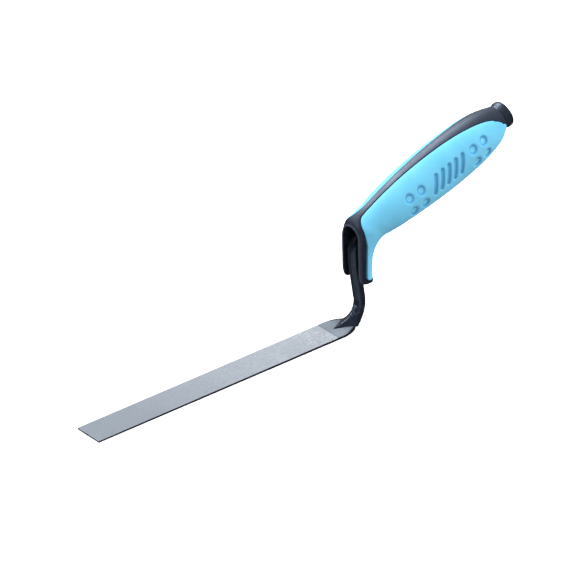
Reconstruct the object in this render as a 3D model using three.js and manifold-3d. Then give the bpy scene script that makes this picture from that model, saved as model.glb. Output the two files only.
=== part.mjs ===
// Brick tuck pointer: a long narrow blade on a cranked shank, with a two-part moulded handle.
//
// Millimetres, +Z up. The origin is on the flat underside of the blade, on its centre line, at
// the ground line, where the finely ground blade ends and its heel begins. The blade points
// along -X and the handle rises along +X. Every piece is symmetric about the XZ plane.

import * as THREE from 'three';
import { mergeVertices } from 'three/addons/utils/BufferGeometryUtils.js';
import Module from 'manifold-3d';

const wasm = await Module();
wasm.setup();

// Blade and heel
const BLADE_WIDTH = 16;
const BLADE_LENGTH = 146.8; // tip to ground line
const TIP_THICKNESS = 0.9;
const BLADE_THICKNESS = 1.2;
const HEEL_THICKNESS = 1.5;
const HEEL_STRAIGHT = 2.5; // the heel keeps the blade's width for this far
const HEEL_ROUND = 11.2; // then its plan is a quarter ellipse this long
const HEEL_NECK = 3.8; // half the width of the neck under the foot
const HEEL_END = 16;
const HEEL_RAMP = 12; // the heel thickens over this length
const EDGE_BREAK = 0.2;

// Shank: foot, riser, bend and tang
const RISER_X = 19; // the riser stands here, measured at the foot
const SHANK_RADIUS = 3;
const FOOT_BEND_RADIUS = 7;
const FOOT_BACK = 3.2; // the foot's outer bend ends this far behind the riser's foot
const RISER_LINE = [[0.5, 12], [-0.3, 17], [-1.6, 25], [-2.7, 33], [-3.2, 40]]; // [x, z] from its foot
const CRANK_RADIUS = 7;
const TANG_PITCH = THREE.MathUtils.degToRad(20);
const CRANK_TURN = Math.PI / 2 - TANG_PITCH;
const TANG_LENGTH = 56;
const TANG_TIP_LENGTH = 5;
const LAP_GAP = 0.15; // between the heel and the foot welded over it

// Handle
const GRIP_THICKNESS = 1.4;
const SEAM = 0.3; // gap between two handle pieces
const CHANNEL_HALF_WIDTH = 5.4;
const CHANNEL_SPRING = 47.9; // height where the channel's arch begins
const CHANNEL_BACK = 2.3; // back wall, from the riser's foot
const LIP_HEIGHT = 24.6; // the grip ends here, above the black lip
const SOCKET_RADIUS = 4.4;
const SOCKET_LENGTH = 62;
const BOND_START = 4; // along the tang

const NOSE_SEAM = [[-0.9, 44], [-1.6, 47.5], [-2.4, 50.5], [-3.3, 55], [-3.6, 120]]; // from the riser
const STRIPE_FLOOR = [12, 56.6]; // the stripe is cut above a line through here, at the cap's pitch
const GRIP_END_CENTRE = [79.3, 74.8]; // of the grip's rounded end, from the riser
const GRIP_END_RADIUS = 9.3;
const GRIP_END_START = 4.5; // behind that centre, where the end's curve leaves the stripe
const END_HALF_HEIGHT = 6.9; // of the handle's last section, which lies against the cap
const END_HALF_WIDTH = 6.6;

// Butt cap, along its own axis
const CAP_PITCH = THREE.MathUtils.degToRad(18.2);
const CAP_CENTRE = [87.7, 80.2]; // middle of the cap's front face, from the riser's foot
const CAP_LENGTH = 5;
const CAP_RIM_RADIUS = 6.9;
const CAP_RIM_START = 2;
const CAP_RIM_END = 3.75;
const CAP_NECK_RADIUS = 6.4;
const CAP_END_RADIUS = 6.1;
const SPIGOT_RADIUS = 3.5;
const SPIGOT_LENGTH = 10;

// Facets
const RING_POINTS = 32;
const STEPS_PER_SECTION = 2;
const RISER_STEPS = 8;
const CRANK_STEPS = 7;
const BORE_SIDES = 20;
const HEEL_STEPS = 10;
const FAR = 60; // further out than the handle's surface anywhere

const point = (x, y, z) => new THREE.Vector3(x, y, z);

// Joins rings that have the same number of points into one closed body with flat ends. Each ring
// runs anticlockwise when it is looked at against the direction of travel.
function loft(rings) {
  const count = rings[0].length;
  const positions = rings.flat().flatMap((p) => p.toArray());
  const faces = [];
  for (let ring = 0; ring + 1 < rings.length; ring += 1) {
    for (let i = 0; i < count; i += 1) {
      const near = ring * count + i;
      const next = ring * count + ((i + 1) % count);
      faces.push(near, next, next + count, near, next + count, near + count);
    }
  }
  const last = (rings.length - 1) * count;
  for (let i = 1; i + 1 < count; i += 1) {
    faces.push(0, i + 1, i, last, last + i, last + i + 1);
  }
  const geometry = new THREE.BufferGeometry();
  geometry.setAttribute('position', new THREE.Float32BufferAttribute(positions, 3));
  geometry.setIndex(faces);
  return geometry;
}

function toSolid(geometry) {
  const bare = geometry.clone();
  bare.deleteAttribute('normal');
  bare.deleteAttribute('uv');
  const merged = mergeVertices(bare);
  return new wasm.Manifold(new wasm.Mesh({
    numProp: 3,
    vertProperties: new Float32Array(merged.attributes.position.array),
    triVerts: new Uint32Array(merged.index.array),
  }));
}

function toGeometry(solid) {
  const mesh = solid.getMesh();
  const geometry = new THREE.BufferGeometry();
  geometry.setAttribute('position', new THREE.BufferAttribute(mesh.vertProperties, 3));
  geometry.setIndex(new THREE.BufferAttribute(mesh.triVerts, 1));
  geometry.computeVertexNormals();
  return geometry;
}

// A side profile, drawn in X and Z, extruded across the whole width of the handle.
function acrossWidth(outline) {
  const geometry = new THREE.ExtrudeGeometry(new THREE.Shape(outline), {
    depth: 2 * FAR,
    bevelEnabled: false,
  });
  geometry.translate(0, 0, -FAR);
  geometry.rotateX(Math.PI / 2);
  return toSolid(geometry);
}

// ---------------------------------------------------------------- blade

// Half the plan width of the blade and heel at x.
function planHalfWidth(x) {
  const along = Math.max(0, x - HEEL_STRAIGHT) / HEEL_ROUND;
  return Math.max(HEEL_NECK, (BLADE_WIDTH / 2) * Math.sqrt(Math.max(0, 1 - along * along)));
}

// Height of the underside at x: flat, then rising round the foot's outer bend.
function undersideHeight(x) {
  const past = Math.max(0, x - (RISER_X + FOOT_BACK - FOOT_BEND_RADIUS));
  return FOOT_BEND_RADIUS - Math.sqrt(FOOT_BEND_RADIUS ** 2 - past * past);
}

function bladeTopHeight(x) {
  if (x < 0) {
    return BLADE_THICKNESS + (x / BLADE_LENGTH) * (BLADE_THICKNESS - TIP_THICKNESS);
  }
  const rise = Math.min(1, x / HEEL_RAMP);
  return BLADE_THICKNESS + rise * (HEEL_THICKNESS - BLADE_THICKNESS);
}

function bladeRing(x, grow = 0) {
  const half = planHalfWidth(x) + grow;
  const top = bladeTopHeight(x) + grow;
  const bottom = undersideHeight(x) - grow;
  return [
    point(x, half, bottom),
    point(x, half, top - EDGE_BREAK),
    point(x, half - EDGE_BREAK, top),
    point(x, EDGE_BREAK - half, top),
    point(x, -half, top - EDGE_BREAK),
    point(x, -half, bottom),
  ];
}

function bladeStations() {
  const stations = [-BLADE_LENGTH, 0];
  for (let step = 0; step <= HEEL_STEPS; step += 1) {
    stations.push(HEEL_STRAIGHT + (step / HEEL_STEPS) * (HEEL_END - HEEL_STRAIGHT));
  }
  return stations;
}

function bladeGeometry(grow = 0) {
  return loft(bladeStations().map((x) => bladeRing(x, grow)));
}

// ---------------------------------------------------------------- shank

// Level sections of the foot, from the pointed toe on the heel up to the round riser.
// Centre, front and rear are measured along X from the riser.
const FOOT_SECTIONS = [
  { height: 0.1, centre: -4.6, front: -9.0, rear: -2.4, halfWidth: 3.8, sharp: 0 },
  { height: 0.8, centre: -6.8, front: -17.6, rear: -0.4, halfWidth: 4.6, sharp: 1 },
  { height: 1.5, centre: -6.8, front: -15.2, rear: 0.6, halfWidth: 4.6, sharp: 1 },
  { height: 2.2, centre: -5.4, front: -12.0, rear: 1.3, halfWidth: 4.0, sharp: 0.95 },
  { height: 3.0, centre: -4.0, front: -8.9, rear: 1.9, halfWidth: 3.6, sharp: 0.75 },
  { height: 4.0, centre: -2.8, front: -6.4, rear: 2.5, halfWidth: 3.3, sharp: 0.5 },
  { height: 5.6, centre: -1.3, front: -4.6, rear: 3.0, halfWidth: 3.1, sharp: 0.25 },
  { height: 7.4, centre: -0.4, front: -3.6, rear: 3.3, halfWidth: 3.0, sharp: 0.1 },
  { height: 9.4, centre: 0.4, front: -2.6, rear: 3.5, halfWidth: 3.0, sharp: 0 },
];

// A level oval whose front half is an ellipse where sharp is 0 and a straight-sided V where it is 1.
function footRing({ height, centre, front, rear, halfWidth, sharp }) {
  const ring = [];
  for (let i = 0; i < RING_POINTS; i += 1) {
    const angle = (2 * Math.PI * i) / RING_POINTS;
    const forward = Math.cos(angle);
    const side = Math.sin(angle);
    const bow = THREE.MathUtils.lerp(forward, 1 - Math.abs(side), sharp);
    const offset = forward > 0 ? (front - centre) * bow : (centre - rear) * forward;
    ring.push(point(RISER_X + centre + offset, -halfWidth * side, height));
  }
  return ring;
}

// A round section about (x, z), square to a line that climbs at the given pitch.
function roundRing(x, z, pitch, radius) {
  const ring = [];
  for (let i = 0; i < RING_POINTS; i += 1) {
    const angle = (2 * Math.PI * i) / RING_POINTS;
    const up = radius * Math.cos(angle);
    ring.push(point(
      x - up * Math.sin(pitch),
      -radius * Math.sin(angle),
      z + up * Math.cos(pitch)));
  }
  return ring;
}

function riserRings() {
  const line = new THREE.CatmullRomCurve3(RISER_LINE.map(([x, z]) => point(RISER_X + x, 0, z)));
  const rings = [];
  for (let step = 0; step < RISER_STEPS; step += 1) {
    const at = line.getPoint(step / RISER_STEPS);
    const heading = line.getTangent(step / RISER_STEPS);
    rings.push(roundRing(at.x, at.z, Math.atan2(heading.z, heading.x), SHANK_RADIUS));
  }
  return rings;
}

// The crank's centre line, after it has turned by the given angle from upright.
function crankPoint(angle) {
  const [x, z] = RISER_LINE.at(-1);
  return {
    x: RISER_X + x + CRANK_RADIUS * (1 - Math.cos(angle)),
    z: z + CRANK_RADIUS * Math.sin(angle),
  };
}

function crankRings() {
  const rings = [];
  for (let step = 0; step <= CRANK_STEPS; step += 1) {
    const angle = (CRANK_TURN * step) / CRANK_STEPS;
    const { x, z } = crankPoint(angle);
    rings.push(roundRing(x, z, Math.PI / 2 - angle, SHANK_RADIUS));
  }
  return rings;
}

function tangRing(along, radius) {
  const start = crankPoint(CRANK_TURN);
  return roundRing(
    start.x + along * Math.cos(TANG_PITCH),
    start.z + along * Math.sin(TANG_PITCH),
    TANG_PITCH, radius);
}

function shank() {
  const body = toSolid(loft([
    ...FOOT_SECTIONS.map(footRing),
    ...riserRings(),
    ...crankRings(),
    tangRing(TANG_LENGTH - TANG_TIP_LENGTH, SHANK_RADIUS),
    tangRing(TANG_LENGTH, SHANK_RADIUS / 2),
  ]));
  return toGeometry(body.subtract(toSolid(bladeGeometry(LAP_GAP))));
}

// ---------------------------------------------------------------- handle body

// A point [x, z] on the plane of the cap's front face, this far above the face's middle.
function endPoint(above) {
  const [x, z] = CAP_CENTRE;
  return [x - above * Math.sin(CAP_PITCH), z + above * Math.cos(CAP_PITCH)];
}

// Sections of the whole handle from the bottom of the nose to the butt. Each one runs from a
// point on the top line to a point on the belly line, [x, z] with x measured from the riser.
// waist places the widest part along that span, and square is the exponent of the top half's
// superellipse: 2 is an ellipse, and more is boxier.
const HANDLE_SECTIONS = [
  { top: [-0.6, 23], belly: [6.4, 22.9], halfWidth: 6.9, waist: 0.36, square: 6 },
  { top: [-3.4, 24.4], belly: [6.5, 24.0], halfWidth: 7.3, waist: 0.34, square: 7 },
  { top: [-4.7, 28.2], belly: [6.3, 26.2], halfWidth: 7.4, waist: 0.32, square: 7 },
  { top: [-5.1, 36], belly: [6.3, 31.0], halfWidth: 7.4, waist: 0.32, square: 7 },
  { top: [-5.5, 44], belly: [7.0, 35.5], halfWidth: 7.4, waist: 0.34, square: 6 },
  { top: [-5.7, 50], belly: [9.0, 39.8], halfWidth: 7.6, waist: 0.4, square: 4 },
  { top: [-4.9, 55.2], belly: [12.0, 42.8], halfWidth: 7.9, waist: 0.46, square: 2.8 },
  { top: [-1.5, 58.3], belly: [14.2, 43.7], halfWidth: 8.0, waist: 0.52, square: 2.2 },
  { top: [4, 61], belly: [16.5, 44.5], halfWidth: 9.0, waist: 0.56, square: 2 },
  { top: [13, 66], belly: [21, 46], halfWidth: 10.5, waist: 0.6, square: 2 },
  { top: [27, 72.8], belly: [35, 49.2], halfWidth: 11.4, waist: 0.58, square: 2 },
  { top: [45, 79.8], belly: [54, 54.2], halfWidth: 11.5, waist: 0.57, square: 2 },
  { top: [63, 84.9], belly: [71, 60.8], halfWidth: 11.3, waist: 0.57, square: 2 },
  { top: [73, 86.7], belly: [80, 65], halfWidth: 10.2, waist: 0.55, square: 2 },
  { top: [80, 87], belly: [86.5, 69], halfWidth: 8.5, waist: 0.53, square: 2 },
  {
    top: endPoint(END_HALF_HEIGHT),
    belly: endPoint(-END_HALF_HEIGHT),
    halfWidth: END_HALF_WIDTH,
    waist: 0.5,
    square: 2,
  },
];

// A section of the handle, drawn in by inset all round.
function handleRing(top, belly, { halfWidth, waist, square }, inset) {
  const span = belly.distanceTo(top);
  const down = belly.clone().sub(top).divideScalar(span);
  const middle = top.clone().addScaledVector(down, waist * span);
  const ring = [];
  for (let i = 0; i < RING_POINTS; i += 1) {
    const angle = (2 * Math.PI * i) / RING_POINTS;
    const exponent = Math.cos(angle) > 0 ? 2 / square : 1;
    const reach = (Math.cos(angle) > 0 ? waist : 1 - waist) * span - inset;
    const rise = Math.sign(Math.cos(angle)) * Math.abs(Math.cos(angle)) ** exponent;
    const side = Math.sign(Math.sin(angle)) * Math.abs(Math.sin(angle)) ** exponent;
    const at = middle.clone().addScaledVector(down, -reach * rise);
    at.y = -(halfWidth - inset) * side;
    ring.push(at);
  }
  return ring;
}

function handleBody(inset = 0) {
  const line = (name) => new THREE.CatmullRomCurve3(
    HANDLE_SECTIONS.map((section) => point(RISER_X + section[name][0], 0, section[name][1])),
    false, 'centripetal');
  const topLine = line('top');
  const bellyLine = line('belly');
  const shapeLine = new THREE.CatmullRomCurve3(
    HANDLE_SECTIONS.map(({ halfWidth, waist, square }) => point(halfWidth, waist, square)),
    false, 'catmullrom');
  const steps = (HANDLE_SECTIONS.length - 1) * STEPS_PER_SECTION;
  const rings = [];
  for (let step = 0; step <= steps; step += 1) {
    const share = step / steps;
    const [halfWidth, waist, square] = shapeLine.getPoint(share).toArray();
    const shape = { halfWidth, waist, square };
    rings.push(handleRing(topLine.getPoint(share), bellyLine.getPoint(share), shape, inset));
  }
  return toSolid(loft(rings));
}

// ---------------------------------------------------------------- where the core shows

// The black stripe along the top: half its width at each x, measured from the riser.
const STRIPE_EDGE = [
  { x: -12, halfWidth: 12 },
  { x: -3.3, halfWidth: 5.3 },
  { x: -2.4, halfWidth: 3.5 },
  { x: -0.8, halfWidth: 2.3 },
  { x: 3, halfWidth: 1.7 },
  { x: 8, halfWidth: 1.6 },
  { x: 20, halfWidth: 1.8 },
  { x: 30, halfWidth: 2.2 },
  { x: 50, halfWidth: 3.1 },
  { x: 60, halfWidth: 3.8 },
  { x: 74, halfWidth: 5.3 },
  { x: 81, halfWidth: 6.2 },
  { x: 100, halfWidth: 9.8 },
];

// The space above the handle's axis and between the stripe's edges.
function stripeSpace(grow) {
  const [floorX, floorZ] = STRIPE_FLOOR;
  return toSolid(loft(STRIPE_EDGE.map(({ x, halfWidth }) => {
    const half = halfWidth + grow;
    const floor = floorZ + (x - floorX) * Math.tan(CAP_PITCH);
    return [
      point(RISER_X + x, half, floor),
      point(RISER_X + x, half, floor + FAR),
      point(RISER_X + x, -half, floor + FAR),
      point(RISER_X + x, -half, floor),
    ];
  })));
}

// Everything in front of the seam that runs up the nose, and below the lip.
function noseSpace(grow) {
  const seam = NOSE_SEAM.map(([x, z]) => new THREE.Vector2(RISER_X + x + grow, z));
  const lip = LIP_HEIGHT + grow;
  return acrossWidth([
    new THREE.Vector2(-FAR, 0),
    new THREE.Vector2(FAR, 0),
    new THREE.Vector2(FAR, lip),
    new THREE.Vector2(seam[0].x, lip),
    ...seam,
    new THREE.Vector2(-FAR, seam.at(-1).y),
  ]);
}

// Everything behind the grip's rounded end.
function buttSpace(grow) {
  const [centreX, centreZ] = GRIP_END_CENTRE;
  const radius = GRIP_END_RADIUS - grow;
  const turned = Math.acos(GRIP_END_START / radius);
  const end = new THREE.Shape();
  end.moveTo(2 * FAR, -FAR);
  end.lineTo(2 * FAR, FAR);
  end.lineTo(GRIP_END_START, FAR);
  end.absarc(0, 0, radius, turned, -turned, true);
  end.lineTo(GRIP_END_START, -FAR);
  const geometry = new THREE.ExtrudeGeometry(end, { depth: 2 * FAR, bevelEnabled: false });
  geometry.translate(0, 0, -FAR);
  geometry.rotateX(Math.PI / 2);
  geometry.rotateY(-CAP_PITCH);
  geometry.translate(RISER_X + centreX, 0, centreZ);
  return toSolid(geometry);
}

function coreSpace(grow = 0) {
  return stripeSpace(grow).add(noseSpace(grow)).add(buttSpace(grow));
}

// ---------------------------------------------------------------- handle pieces

// The arched channel that the riser stands in, open in front and below.
function channelSpace() {
  const arch = new THREE.Shape();
  arch.moveTo(CHANNEL_HALF_WIDTH, 0);
  arch.lineTo(CHANNEL_HALF_WIDTH, CHANNEL_SPRING);
  arch.absarc(0, CHANNEL_SPRING, CHANNEL_HALF_WIDTH, 0, Math.PI, false);
  arch.lineTo(-CHANNEL_HALF_WIDTH, 0);
  const geometry = new THREE.ExtrudeGeometry(arch, { depth: FAR, bevelEnabled: false });
  geometry.rotateX(Math.PI / 2);
  geometry.rotateZ(-Math.PI / 2);
  geometry.translate(RISER_X + CHANNEL_BACK, 0, 0);
  return toSolid(geometry);
}

// A body of revolution about the tang, given as [radius, distance along the tang] pairs.
function aboutTang(profile) {
  const start = crankPoint(CRANK_TURN);
  const geometry = new THREE.LatheGeometry(
    profile.map(([radius, along]) => new THREE.Vector2(radius, along)), BORE_SIDES);
  geometry.rotateZ(-Math.PI / 2);
  geometry.rotateY(-TANG_PITCH);
  geometry.translate(start.x, 0, start.z);
  return geometry;
}

function socketSpace() {
  const mouth = -CRANK_RADIUS / 2;
  return toSolid(aboutTang([
    [0, mouth], [SOCKET_RADIUS, mouth], [SOCKET_RADIUS, SOCKET_LENGTH], [0, SOCKET_LENGTH],
  ]));
}

function tangBond() {
  const inner = SHANK_RADIUS + SEAM;
  const outer = SOCKET_RADIUS - SEAM;
  return aboutTang([
    [inner, BOND_START], [outer, BOND_START], [outer, TANG_LENGTH], [inner, TANG_LENGTH],
    [inner, BOND_START],
  ]);
}

// A body of revolution about the butt's axis, given as [radius, distance along it] pairs.
function aboutButt(profile) {
  const geometry = new THREE.LatheGeometry(
    profile.map(([radius, along]) => new THREE.Vector2(radius, along)), RING_POINTS);
  geometry.rotateZ(-Math.PI / 2);
  geometry.rotateY(-CAP_PITCH);
  geometry.translate(RISER_X + CAP_CENTRE[0], 0, CAP_CENTRE[1]);
  return geometry;
}

function capSpace() {
  const radius = SPIGOT_RADIUS + SEAM;
  const depth = SPIGOT_LENGTH + SEAM;
  return toSolid(aboutButt([
    [0, -depth], [radius, -depth], [radius, -SEAM], [FAR / 2, -SEAM], [FAR / 2, FAR], [0, FAR],
  ]));
}

function buttCap() {
  return aboutButt([
    [0, -SPIGOT_LENGTH],
    [SPIGOT_RADIUS, -SPIGOT_LENGTH],
    [SPIGOT_RADIUS, 0],
    [CAP_NECK_RADIUS, 0],
    [CAP_RIM_RADIUS, CAP_RIM_START],
    [CAP_RIM_RADIUS, CAP_RIM_END],
    [CAP_END_RADIUS, CAP_LENGTH],
    [0, CAP_LENGTH],
  ]);
}

function handleCore() {
  const shown = handleBody().intersect(coreSpace());
  const solid = handleBody(GRIP_THICKNESS)
    .add(shown)
    .subtract(channelSpace())
    .subtract(socketSpace())
    .subtract(capSpace());
  return toGeometry(solid);
}

function gripSleeve() {
  const solid = handleBody()
    .subtract(handleBody(GRIP_THICKNESS - SEAM))
    .subtract(coreSpace(SEAM));
  return toGeometry(solid);
}

// ---------------------------------------------------------------- assembly

function piece(name, geometry, color, roughness, metalness) {
  const material = new THREE.MeshStandardMaterial({ color, roughness, metalness });
  const mesh = new THREE.Mesh(geometry, material);
  mesh.name = name;
  return mesh;
}

const tuckPointer = new THREE.Group();
tuckPointer.add(
  piece('blade', bladeGeometry(), 0xb4bcc6, 0.35, 1.0),
  piece('shank', shank(), 0x2b2f3e, 0.4, 0.3),
  piece('tang_bond', tangBond(), 0xc9b98a, 0.6, 0.0),
  piece('handle_core', handleCore(), 0x2e3340, 0.6, 0.0),
  piece('grip_sleeve', gripSleeve(), 0x69cbeb, 0.55, 0.0),
  piece('butt_cap', buttCap(), 0x20242f, 0.5, 0.0),
);

export default tuckPointer;
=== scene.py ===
# Visual model of a brick tuck pointer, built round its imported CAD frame.
#
# Lengths below are millimetres in the frame's own axes, unless a comment says metres, and become
# metres when a mesh is made. The blade points along -X, the handle rises along +X, and Z is up.
# The script makes finer meshes for the visible pieces, gives every piece a procedural finish, and
# lights a plain studio.

import math

import bpy
import numpy as np
from mathutils import Matrix, Vector


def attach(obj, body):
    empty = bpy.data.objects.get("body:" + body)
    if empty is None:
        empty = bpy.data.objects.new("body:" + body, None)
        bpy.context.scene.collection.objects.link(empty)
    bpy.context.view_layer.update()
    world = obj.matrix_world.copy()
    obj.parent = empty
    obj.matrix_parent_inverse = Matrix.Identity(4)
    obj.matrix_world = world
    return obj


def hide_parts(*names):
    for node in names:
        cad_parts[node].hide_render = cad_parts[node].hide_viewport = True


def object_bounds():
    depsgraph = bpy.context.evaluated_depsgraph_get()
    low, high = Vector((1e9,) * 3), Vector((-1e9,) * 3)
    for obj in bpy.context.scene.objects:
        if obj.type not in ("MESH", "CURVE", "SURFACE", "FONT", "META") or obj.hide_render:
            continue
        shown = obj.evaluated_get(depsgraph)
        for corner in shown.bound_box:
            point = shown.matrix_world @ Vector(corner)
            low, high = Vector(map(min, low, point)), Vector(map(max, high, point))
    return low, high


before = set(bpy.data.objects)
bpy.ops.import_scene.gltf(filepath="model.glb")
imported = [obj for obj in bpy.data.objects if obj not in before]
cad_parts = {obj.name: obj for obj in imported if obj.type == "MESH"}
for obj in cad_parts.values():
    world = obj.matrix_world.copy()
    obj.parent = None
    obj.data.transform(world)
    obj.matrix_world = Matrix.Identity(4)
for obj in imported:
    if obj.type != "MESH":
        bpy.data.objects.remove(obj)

CAD_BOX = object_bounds()
MM = 0.001

# Blade and heel
BLADE_WIDTH = 16.0
BLADE_LENGTH = 146.8
TIP_THICKNESS = 0.9
BLADE_THICKNESS = 1.2
HEEL_THICKNESS = 1.5
HEEL_STRAIGHT = 2.5  # full width this far behind the ground line
HEEL_ROUND = 13.0  # then a quarter ellipse this long, a little fuller than in the CAD
HEEL_NECK = 3.8  # least half width
HEEL_END = 16.0
HEEL_RAMP = 12.0  # over which it thickens
GRIND_STEP = 0.02  # the ground face lies this far below the heel; the CAD has no step
GRIND_RAMP = 0.5
EDGE_ROUND = 0.12
EDGE_SUPPORT = 0.04  # a second line of points just inside each rolled edge
EDGE_POINTS = 4  # on each rolled edge
GROUND_STATIONS = 60
STEP_STATIONS = 5
HEEL_STATIONS = 60
LAP_GAP = 0.03  # between the heel and the foot over it, closer than in the CAD

# Shank
RISER_X = 19.0
SHANK_RADIUS = 3.0
FOOT_BEND_RADIUS = 7.0
FOOT_BACK = 3.2  # from the riser's line back to where the foot's bend is upright
CRANK_RADIUS = 7.0
TANG_PITCH = math.radians(20)
CRANK_TURN = math.pi / 2 - TANG_PITCH
TANG_LENGTH = 56.0
TANG_TIP_LENGTH = 5.0
SHANK_SIDES = 72
FOOT_RINGS = 57
RISER_RINGS = 61
CRANK_RINGS = 24
TANG_RINGS = 20
TANG_TIP_RINGS = 8
TANG_TIP_TAPER = 0.8  # share of its section that the tang has lost at its tip
RISER_LINE = [(0.5, 12), (-0.3, 17), (-1.6, 25), (-2.7, 33), (-3.2, 40)]  # x from RISER_X, z

# Level sections of the foot: height, centre, front, rear, half width, sharpness of the front.
FOOT_SECTIONS = [
    (0.1, -4.6, -9.0, -2.4, 3.8, 0.0),
    (0.8, -6.8, -17.6, -0.4, 4.6, 1.0),
    (1.5, -6.8, -15.2, 0.6, 4.6, 1.0),
    (2.2, -5.4, -12.0, 1.3, 4.0, 0.95),
    (3.0, -4.0, -8.9, 1.9, 3.6, 0.75),
    (4.0, -2.8, -6.4, 2.5, 3.3, 0.5),
    (5.6, -1.3, -4.6, 3.0, 3.1, 0.25),
    (7.4, -0.4, -3.6, 3.3, 3.0, 0.1),
    (9.4, 0.4, -2.6, 3.5, 3.0, 0.0),
]

# Wrinkles pressed into the inside of the foot's bend: height, depth, half the width of the dent.
WRINKLES = [
    (5.2, 0.6, 0.5), (7.2, 0.75, 0.5), (9.4, 0.7, 0.55), (11.8, 0.5, 0.6),
]
WRINKLE_SWAY = 0.8  # how far a wrinkle rises and falls on its way round
WRINKLE_SPREAD = 0.7  # below 1, a wrinkle reaches further round to the sides

# Handle sections, x from the riser: top x, top z, belly x, belly z, half width, waist, square.
# waist is how far down its widest place is, and square is 2 for an oval and more for a box.
# end_section() adds the last one, against the cap.
HANDLE_SECTIONS = [
    (-0.6, 23.0, 6.4, 22.9, 6.9, 0.36, 6.0),
    (-3.4, 24.4, 6.5, 24.0, 7.3, 0.34, 7.0),
    (-4.7, 28.2, 6.3, 26.2, 7.4, 0.32, 7.0),
    (-5.1, 36.0, 6.3, 31.0, 7.4, 0.32, 7.0),
    (-5.5, 44.0, 7.0, 35.5, 7.4, 0.34, 6.0),
    (-5.7, 50.0, 9.0, 39.8, 7.6, 0.4, 4.0),
    (-4.9, 55.2, 12.0, 42.8, 7.9, 0.46, 2.8),
    (-1.5, 58.3, 14.2, 43.7, 8.0, 0.52, 2.2),
    (4, 61, 16.5, 44.5, 9.0, 0.56, 2.0),
    (13, 66, 21, 46, 10.5, 0.6, 2.0),
    (27, 72.8, 35, 49.2, 11.4, 0.58, 2.0),
    (45, 79.8, 54, 54.2, 11.5, 0.57, 2.0),
    (63, 84.9, 71, 60.8, 11.3, 0.57, 2.0),
    (73, 86.7, 80, 65, 10.2, 0.55, 2.0),
    (80, 87, 86.5, 69, 8.5, 0.53, 2.0),
]
END_HALF_HEIGHT = 6.9
END_HALF_WIDTH = 6.6
OVAL = 2.0
HANDLE_RINGS = 300
HANDLE_QUARTER = 44  # points in each quarter of a ring
LINE_SAMPLES = 2000  # along the handle, to space its rings evenly
QUARTER_SAMPLES = 400  # round a quarter, to space its points evenly

# Where the hard core shows: half the stripe's width at each x from the riser.
STRIPE_EDGE = [
    (-12, 12), (-3.3, 5.3), (-2.4, 3.5), (-0.8, 2.3), (3, 1.7), (8, 1.6), (20, 1.8),
    (30, 2.2), (50, 3.1), (60, 3.8), (74, 5.3), (81, 6.2), (100, 9.8),
]
STRIPE_FLOOR = (12, 56.6)  # the stripe stays above a line through here at the cap's pitch
NOSE_SEAM = [(-0.9, 44), (-1.6, 47.5), (-2.4, 50.5), (-3.3, 55), (-3.6, 120)]
LIP_HEIGHT = 24.6
GRIP_END_CENTRE = (79.3, 74.8)  # of the arc that the grip ends in
GRIP_END_RADIUS = 9.55  # laps a little further than in the CAD
GRIP_END_START = 4.5  # the arc counts from this far behind its centre
SEAM_CORNER = 2.0  # the grip's corners are rounded by about this

# The step and the groove between the core and the grip.
GRIP_THICKNESS = 1.4
SEAM_GAP = 0.15
SEAM_ROUND = 0.4  # how far from a seam each edge begins to roll over
SEAM_DROP = 0.4
LIP_ROUND = 0.8  # roll of the nose's bottom edge
ROLL_STEPS = (0, 0.08, 0.25, 0.55, 1)  # lines of points on a rolled edge, as shares of its width
NOSE_GROOVE = 0.75  # added to the groove beside the nose, and not in the CAD
GROOVE_FADE_X = (2.0, 5.5)  # where that fades out, from the riser back
GROOVE_FADE_Z = (46, 55)  # and upwards
LIP_CORNER = 3.6  # rounding of the grip's lower front corner

# Channel, socket and cap
CHANNEL_HALF_WIDTH = 5.4
CHANNEL_SPRING = 47.9
CHANNEL_BACK = 2.3
SOCKET_RADIUS = 4.4
SOCKET_LENGTH = 62.0
CAP_PITCH = math.radians(18.2)
CAP_CENTRE = (87.7, 80.2)  # of its front face, x from the riser
CAP_GAP = 0.15
SPIGOT_RADIUS = 3.5
SPIGOT_LENGTH = 10.0
CAP_SIDES = 120
BORE_SIDES = 64
FAR = 60.0  # beyond anything that it is compared with or cuts through

# The cap's turned profile: radius, distance along its axis.
CAP_PROFILE = [
    (0.01, -SPIGOT_LENGTH), (3.1, -SPIGOT_LENGTH), (3.4, -9.8), (SPIGOT_RADIUS, -9.5),
    (SPIGOT_RADIUS, 0), (6.1, 0), (6.3, 0.05), (6.4, 0.2), (6.42, 0.5), (6.48, 0.9),
    (6.62, 1.35), (6.78, 1.8), (6.88, 2.25), (6.92, 2.7), (6.92, 3.2), (6.88, 3.7),
    (6.76, 4.15), (6.55, 4.55), (6.25, 4.83), (5.9, 4.97), (5.5, 5.0), (5.1, 4.93),
    (4.7, 4.75), (4.2, 4.6), (3.5, 4.52), (2.0, 4.5), (0.01, 4.5),
]

# Raised bead round the channel's mouth: distance from its edge, height.
BEAD_PROFILE = [
    (0.0, -0.30), (0.08, -0.08), (0.2, 0.12), (0.4, 0.26), (0.7, 0.30), (1.0, 0.2), (1.4, 0.0),
]

# The pattern pressed into the grip's sides lies along the handle's pitch, about this place.
PATTERN_CENTRE = (47.5, 68.2)
DIMPLE_COLUMNS = (-24.5, -17.3, 17.3, 24.5)
DIMPLE_ROWS = (2.3, -5.1)
DIMPLE_PROFILE = [  # distance from a dimple's middle, height
    (0.0, -0.95), (1.2, -0.94), (1.6, -0.84), (2.0, -0.6), (2.4, -0.28), (2.75, -0.08),
    (3.1, 0.0),
]

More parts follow.
